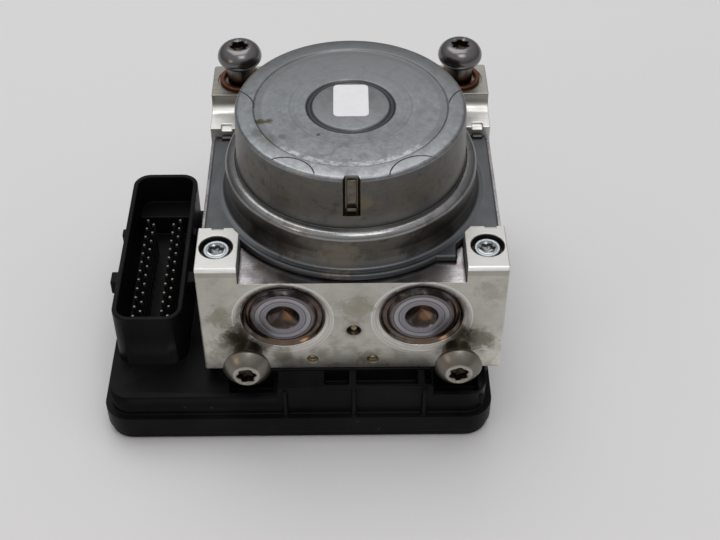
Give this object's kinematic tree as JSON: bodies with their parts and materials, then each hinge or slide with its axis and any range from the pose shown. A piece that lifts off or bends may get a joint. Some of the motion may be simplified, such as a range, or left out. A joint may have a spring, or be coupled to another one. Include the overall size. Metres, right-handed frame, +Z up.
{
  "type": "anti-lock brake module",
  "caption": "Anti-lock brake module: drilled aluminium valve block between a round pump motor and a flat black control unit with a plug socket.",
  "frame": {"origin": "where the motor axis meets the underside of the control unit's cover", "axes": "+X away from the plug socket, +Y towards the face with the pipe ports, +Z up the motor axis"},
  "size_m": [0.1218, 0.1031, 0.0894],
  "materials": {
    "block_aluminium": "milled, bare",
    "can_steel": "deep-drawn, zinc coated",
    "rubber": "smooth",
    "ferrite": "sintered",
    "bearing_steel": "ground",
    "turned_steel": "turned",
    "core_steel": "stacked sheet",
    "copper": "enamelled and bare copper",
    "inner_plastic": "moulded",
    "carbon": "pressed carbon",
    "tinned_contact": "tinned",
    "coil_steel": "plated",
    "piston_aluminium": "anodised",
    "black_plastic": "glass-filled, moulded",
    "cover_plastic": "moulded",
    "board_green": "solder mask",
    "chip_black": "moulded",
    "bolt_steel": "phosphated, worn",
    "collar_copper": "stained",
    "zinc_screw": "zinc plated",
    "cap_steel": "turned, stained",
    "plug_brass": "staked"
  },
  "bodies": {
    "module": {"accumulator_cap_left": "cap_steel", "accumulator_cap_right": "cap_steel", "accumulator_spring_left": "turned_steel", "accumulator_spring_right": "turned_steel", "board_components": "chip_black", "bolt_collars": "collar_copper", "brush_plate": "inner_plastic", "brush_springs": "turned_steel", "brushes": "carbon", "circuit_board": "board_green", "connector_pins": "tinned_contact", "drilling_plugs": "plug_brass", "ecu_cover": "cover_plastic", "ecu_gasket": "rubber", "ecu_housing": "black_plastic", "front_bearing": "bearing_steel", "hydraulic_block": "block_aluminium", "inlet_valve_bodies": "turned_steel", "module_screws": "zinc_screw", "motor_can": "can_steel", "motor_magnets": "ferrite", "motor_seal": "rubber", "motor_terminals": "tinned_contact", "mounting_bolts": "bolt_steel", "outlet_valve_bodies": "turned_steel", "pump_plug_left": "cap_steel", "pump_plug_right": "cap_steel", "pump_sleeve_left": "turned_steel", "pump_sleeve_right": "turned_steel", "pump_spring_left": "turned_steel", "pump_spring_right": "turned_steel", "rear_bearing": "bearing_steel", "valve_coils": "coil_steel"},
    "rotor": {"rotor_shaft": "turned_steel", "armature_core": "core_steel", "armature_windings": "copper", "commutator": "copper"},
    "eccentric_ring": {"eccentric_ring": "bearing_steel"},
    "pump_piston_left": {"pump_piston_left": "turned_steel"},
    "pump_piston_right": {"pump_piston_right": "turned_steel"},
    "accumulator_piston_left": {"accumulator_piston_left": "piston_aluminium", "accumulator_seal_left": "rubber"},
    "accumulator_piston_right": {"accumulator_piston_right": "piston_aluminium", "accumulator_seal_right": "rubber"},
    "inlet_plunger_1": {"inlet_plunger_1": "turned_steel"},
    "inlet_plunger_2": {"inlet_plunger_2": "turned_steel"},
    "inlet_plunger_3": {"inlet_plunger_3": "turned_steel"},
    "inlet_plunger_4": {"inlet_plunger_4": "turned_steel"},
    "outlet_plunger_1": {"outlet_plunger_1": "turned_steel"},
    "outlet_plunger_2": {"outlet_plunger_2": "turned_steel"},
    "outlet_plunger_3": {"outlet_plunger_3": "turned_steel"},
    "outlet_plunger_4": {"outlet_plunger_4": "turned_steel"}
  },
  "joints": [
    {"name": "rotor_spin", "type": "hinge", "parent": "module", "child": "rotor", "pos_m": [0, 0, 0.07], "axis": [0, 0, 1], "continuous": true},
    {"name": "eccentric_ring_spin", "type": "hinge", "parent": "rotor", "child": "eccentric_ring", "pos_m": [0.001, 0, 0.044], "axis": [0, 0, 1], "continuous": true},
    {"name": "pump_piston_left_stroke", "type": "slide", "parent": "module", "child": "pump_piston_left", "axis": [-1, 0, 0], "range_m": [0, 0.002], "stiffness_N_per_m": 800, "springref_m": -0.003, "deforming": ["pump_spring_left"]},
    {"name": "pump_piston_right_stroke", "type": "slide", "parent": "module", "child": "pump_piston_right", "axis": [1, 0, 0], "range_m": [0, 0.002], "stiffness_N_per_m": 800, "springref_m": -0.003, "deforming": ["pump_spring_right"]},
    {"name": "accumulator_left_stroke", "type": "slide", "parent": "module", "child": "accumulator_piston_left", "axis": [0, -1, 0], "range_m": [0, 0.007], "stiffness_N_per_m": 1500, "springref_m": -0.004, "deforming": ["accumulator_spring_left"]},
    {"name": "accumulator_right_stroke", "type": "slide", "parent": "module", "child": "accumulator_piston_right", "axis": [0, -1, 0], "range_m": [0, 0.007], "stiffness_N_per_m": 1500, "springref_m": -0.004, "deforming": ["accumulator_spring_right"]},
    {"name": "inlet_valve_1_stroke", "type": "slide", "parent": "module", "child": "inlet_plunger_1", "axis": [0, 0, 1], "range_m": [0, 0.0003], "stiffness_N_per_m": 600, "springref_m": -0.0015},
    {"name": "inlet_valve_2_stroke", "type": "slide", "parent": "module", "child": "inlet_plunger_2", "axis": [0, 0, 1], "range_m": [0, 0.0003], "stiffness_N_per_m": 600, "springref_m": -0.0015},
    {"name": "inlet_valve_3_stroke", "type": "slide", "parent": "module", "child": "inlet_plunger_3", "axis": [0, 0, 1], "range_m": [0, 0.0003], "stiffness_N_per_m": 600, "springref_m": -0.0015},
    {"name": "inlet_valve_4_stroke", "type": "slide", "parent": "module", "child": "inlet_plunger_4", "axis": [0, 0, 1], "range_m": [0, 0.0003], "stiffness_N_per_m": 600, "springref_m": -0.0015},
    {"name": "outlet_valve_1_stroke", "type": "slide", "parent": "module", "child": "outlet_plunger_1", "axis": [0, 0, -1], "range_m": [0, 0.0003], "stiffness_N_per_m": 600, "springref_m": -0.0015},
    {"name": "outlet_valve_2_stroke", "type": "slide", "parent": "module", "child": "outlet_plunger_2", "axis": [0, 0, -1], "range_m": [0, 0.0003], "stiffness_N_per_m": 600, "springref_m": -0.0015},
    {"name": "outlet_valve_3_stroke", "type": "slide", "parent": "module", "child": "outlet_plunger_3", "axis": [0, 0, -1], "range_m": [0, 0.0003], "stiffness_N_per_m": 600, "springref_m": -0.0015},
    {"name": "outlet_valve_4_stroke", "type": "slide", "parent": "module", "child": "outlet_plunger_4", "axis": [0, 0, -1], "range_m": [0, 0.0003], "stiffness_N_per_m": 600, "springref_m": -0.0015}
  ],
  "couplings": [
    {"joint": "eccentric_ring_spin", "follows": "rotor_spin", "ratio": -1}
  ]
}
